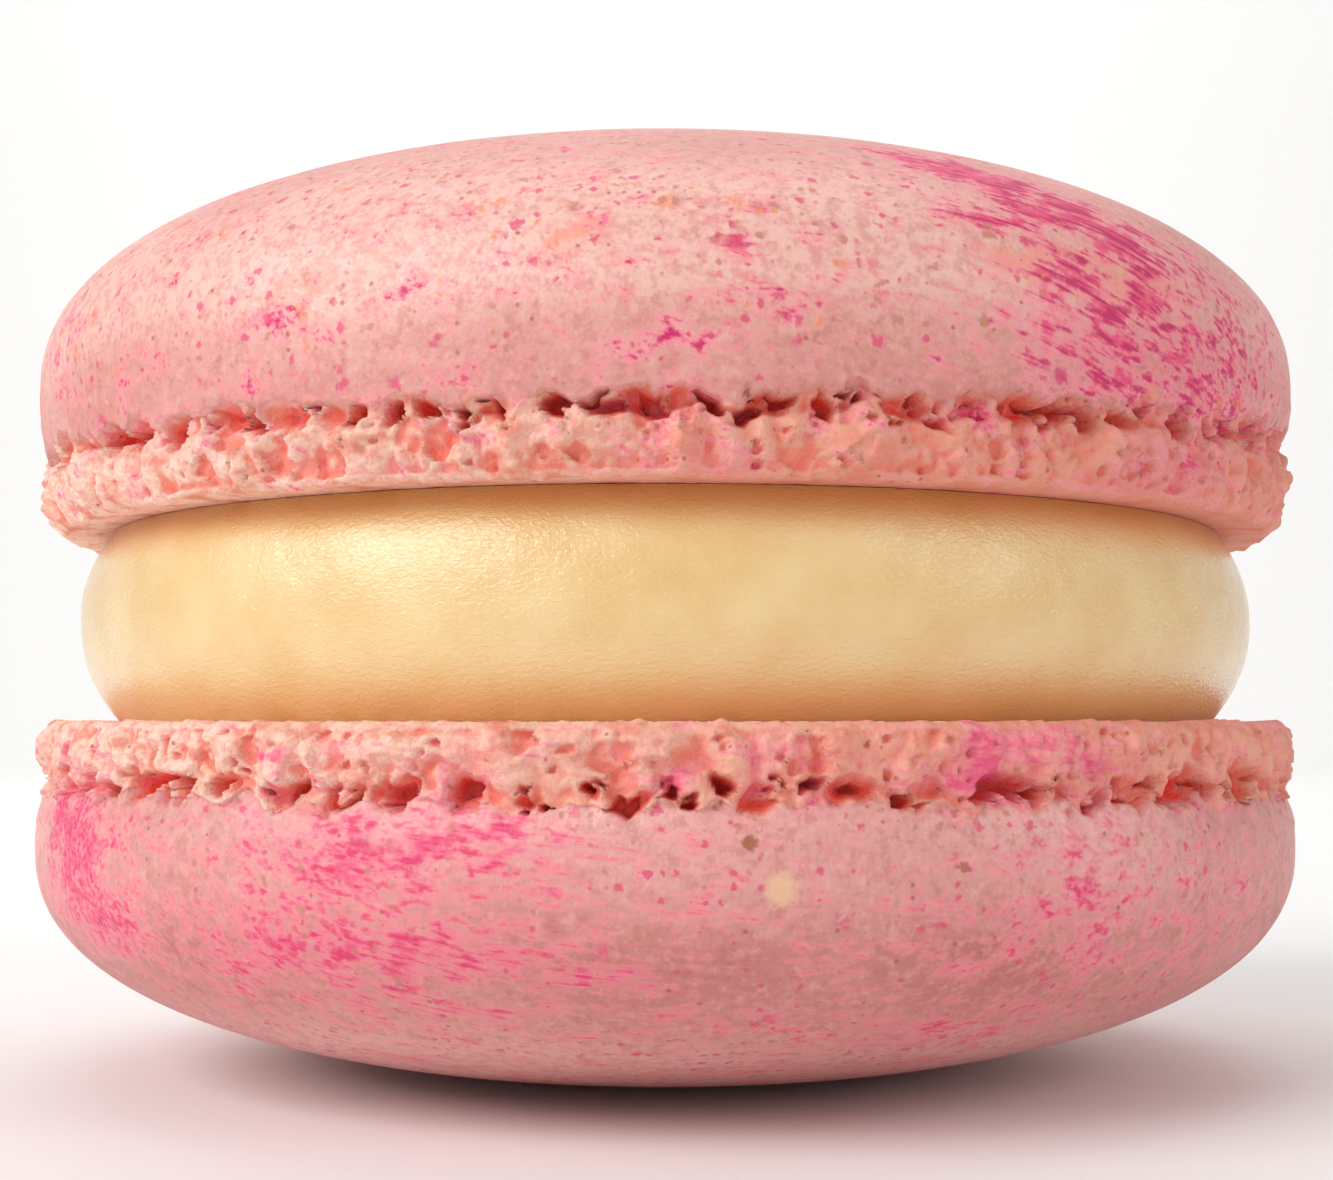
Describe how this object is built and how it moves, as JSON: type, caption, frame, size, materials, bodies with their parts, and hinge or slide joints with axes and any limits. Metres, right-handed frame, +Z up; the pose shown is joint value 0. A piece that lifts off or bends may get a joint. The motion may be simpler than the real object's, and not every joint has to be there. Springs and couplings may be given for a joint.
{
  "type": "french macaron",
  "caption": "Round sandwich biscuit of domed almond meringue shells with frilled feet, held together by a thick layer of vanilla cream.",
  "frame": {"origin": "under the middle of the flat spot that the lower shell rests on", "axes": "+Z up through both crowns, -Y towards the side where the shells gape a little, +X to the right of that side"},
  "size_m": [0.0449, 0.045, 0.0321],
  "materials": {
    "meringue_shell": "satin pink meringue skin with fine pores, and a paler, matt foam foot",
    "vanilla_cream": "pale yellow cream with a broken gloss"
  },
  "bodies": {
    "root": {"lower_shell": "meringue_shell", "cream_filling": "vanilla_cream", "upper_shell": "meringue_shell"}
  },
  "joints": []
}
